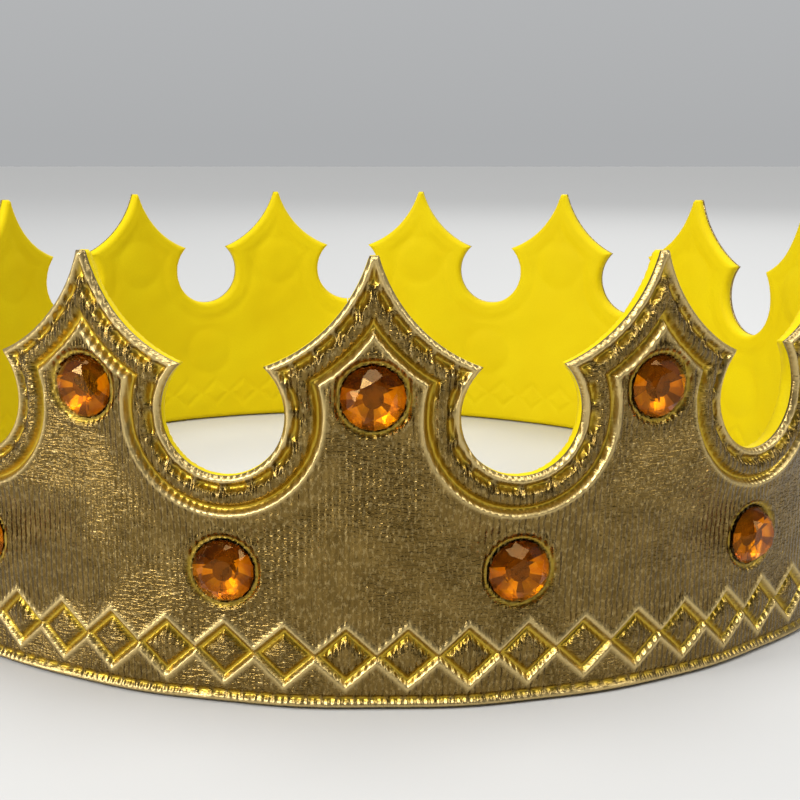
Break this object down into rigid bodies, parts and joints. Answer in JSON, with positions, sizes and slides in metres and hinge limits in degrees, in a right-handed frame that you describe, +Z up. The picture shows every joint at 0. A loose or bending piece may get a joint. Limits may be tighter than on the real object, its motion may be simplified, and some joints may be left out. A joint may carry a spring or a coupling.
{
  "type": "costume crown",
  "caption": "Soft foam crown with gold cloth prongs, amber stones and a hook-and-loop strap at the back; opens out flat along its flex lines.",
  "frame": {"origin": "middle of the crown's bounding box, on the surface it stands on", "axes": "+Z up along the ring's axis, front prong facing -Y, closure strap at +Y"},
  "size_m": [0.1946, 0.199, 0.061],
  "materials": {
    "gold_cloth": "metallic ribbed lame cloth, heat-pressed onto the foam",
    "yellow_foam": "smooth matte foam sheet",
    "amber_stone": "clear-coated faceted acrylic with a foiled back",
    "closure_tape": "hook-and-loop tape",
    "sewing_thread": "polyester thread"
  },
  "bodies": {
    "front_section": {"gold_cover_00": "gold_cloth", "foam_wall_00": "yellow_foam", "stones_00": "amber_stone"},
    "section_01": {"gold_cover_01": "gold_cloth", "foam_wall_01": "yellow_foam", "stones_01": "amber_stone"},
    "section_02": {"gold_cover_02": "gold_cloth", "foam_wall_02": "yellow_foam", "stones_02": "amber_stone"},
    "section_03": {"gold_cover_03": "gold_cloth", "foam_wall_03": "yellow_foam", "stones_03": "amber_stone"},
    "section_04": {"gold_cover_04": "gold_cloth", "foam_wall_04": "yellow_foam", "stones_04": "amber_stone"},
    "section_05": {"gold_cover_05": "gold_cloth", "foam_wall_05": "yellow_foam", "stones_05": "amber_stone"},
    "section_06": {"gold_cover_06": "gold_cloth", "foam_wall_06": "yellow_foam", "stones_06": "amber_stone"},
    "section_07": {"gold_cover_07": "gold_cloth", "foam_wall_07": "yellow_foam", "stones_07": "amber_stone", "strap_foot_foam": "yellow_foam", "strap_foot_cover": "gold_cloth", "strap_stitches": "sewing_thread"},
    "section_08": {"gold_cover_08": "gold_cloth", "foam_wall_08": "yellow_foam", "stones_08": "amber_stone", "loop_tape": "closure_tape"},
    "section_09": {"gold_cover_09": "gold_cloth", "foam_wall_09": "yellow_foam", "stones_09": "amber_stone"},
    "section_10": {"gold_cover_10": "gold_cloth", "foam_wall_10": "yellow_foam", "stones_10": "amber_stone"},
    "section_11": {"gold_cover_11": "gold_cloth", "foam_wall_11": "yellow_foam", "stones_11": "amber_stone"},
    "section_12": {"gold_cover_12": "gold_cloth", "foam_wall_12": "yellow_foam", "stones_12": "amber_stone"},
    "section_13": {"gold_cover_13": "gold_cloth", "foam_wall_13": "yellow_foam", "stones_13": "amber_stone"},
    "section_14": {"gold_cover_14": "gold_cloth", "foam_wall_14": "yellow_foam", "stones_14": "amber_stone"},
    "strap_flap": {"strap_flap_foam": "yellow_foam", "strap_flap_cover": "gold_cloth", "strap_stone": "amber_stone", "hook_tape": "closure_tape"}
  },
  "joints": [
    {"name": "flex_01", "type": "hinge", "parent": "front_section", "child": "section_01", "pos_m": [0.02771, -0.09331, 0], "axis": [0, 0, -1], "range_deg": [0, 24]},
    {"name": "flex_02", "type": "hinge", "parent": "section_01", "child": "section_02", "pos_m": [0.06248, -0.07414, 0], "axis": [0, 0, -1], "range_deg": [0, 24]},
    {"name": "flex_03", "type": "hinge", "parent": "section_02", "child": "section_03", "pos_m": [0.08645, -0.04249, 0], "axis": [0, 0, -1], "range_deg": [0, 24]},
    {"name": "flex_04", "type": "hinge", "parent": "section_03", "child": "section_04", "pos_m": [0.09547, -0.00381, 0], "axis": [0, 0, -1], "range_deg": [0, 24]},
    {"name": "flex_05", "type": "hinge", "parent": "section_04", "child": "section_05", "pos_m": [0.08799, 0.03518, 0], "axis": [0, 0, -1], "range_deg": [0, 24]},
    {"name": "flex_06", "type": "hinge", "parent": "section_05", "child": "section_06", "pos_m": [0.06529, 0.06776, 0], "axis": [0, 0, -1], "range_deg": [0, 24]},
    {"name": "flex_07", "type": "hinge", "parent": "section_06", "child": "section_07", "pos_m": [0.0313, 0.08829, 0], "axis": [0, 0, -1], "range_deg": [0, 24]},
    {"name": "flex_14", "type": "hinge", "parent": "front_section", "child": "section_14", "pos_m": [-0.02771, -0.09331, 0], "axis": [0, 0, 1], "range_deg": [0, 24]},
    {"name": "flex_13", "type": "hinge", "parent": "section_14", "child": "section_13", "pos_m": [-0.06248, -0.07414, 0], "axis": [0, 0, 1], "range_deg": [0, 24]},
    {"name": "flex_12", "type": "hinge", "parent": "section_13", "child": "section_12", "pos_m": [-0.08645, -0.04249, 0], "axis": [0, 0, 1], "range_deg": [0, 24]},
    {"name": "flex_11", "type": "hinge", "parent": "section_12", "child": "section_11", "pos_m": [-0.09547, -0.00381, 0], "axis": [0, 0, 1], "range_deg": [0, 24]},
    {"name": "flex_10", "type": "hinge", "parent": "section_11", "child": "section_10", "pos_m": [-0.08799, 0.03518, 0], "axis": [0, 0, 1], "range_deg": [0, 24]},
    {"name": "flex_09", "type": "hinge", "parent": "section_10", "child": "section_09", "pos_m": [-0.06529, 0.06776, 0], "axis": [0, 0, 1], "range_deg": [0, 24]},
    {"name": "flex_08", "type": "hinge", "parent": "section_09", "child": "section_08", "pos_m": [-0.0313, 0.08829, 0], "axis": [0, 0, 1], "range_deg": [0, 24]},
    {"name": "strap_peel", "type": "hinge", "parent": "section_07", "child": "strap_flap", "pos_m": [0.00842, 0.09706, 0], "axis": [0, 0, -1], "range_deg": [0, 90]}
  ],
  "couplings": [
    {"joint": "flex_02", "follows": "flex_01", "ratio": 1},
    {"joint": "flex_03", "follows": "flex_01", "ratio": 1},
    {"joint": "flex_04", "follows": "flex_01", "ratio": 1},
    {"joint": "flex_05", "follows": "flex_01", "ratio": 1},
    {"joint": "flex_06", "follows": "flex_01", "ratio": 1},
    {"joint": "flex_07", "follows": "flex_01", "ratio": 1},
    {"joint": "flex_14", "follows": "flex_01", "ratio": 1},
    {"joint": "flex_13", "follows": "flex_01", "ratio": 1},
    {"joint": "flex_12", "follows": "flex_01", "ratio": 1},
    {"joint": "flex_11", "follows": "flex_01", "ratio": 1},
    {"joint": "flex_10", "follows": "flex_01", "ratio": 1},
    {"joint": "flex_09", "follows": "flex_01", "ratio": 1},
    {"joint": "flex_08", "follows": "flex_01", "ratio": 1}
  ]
}
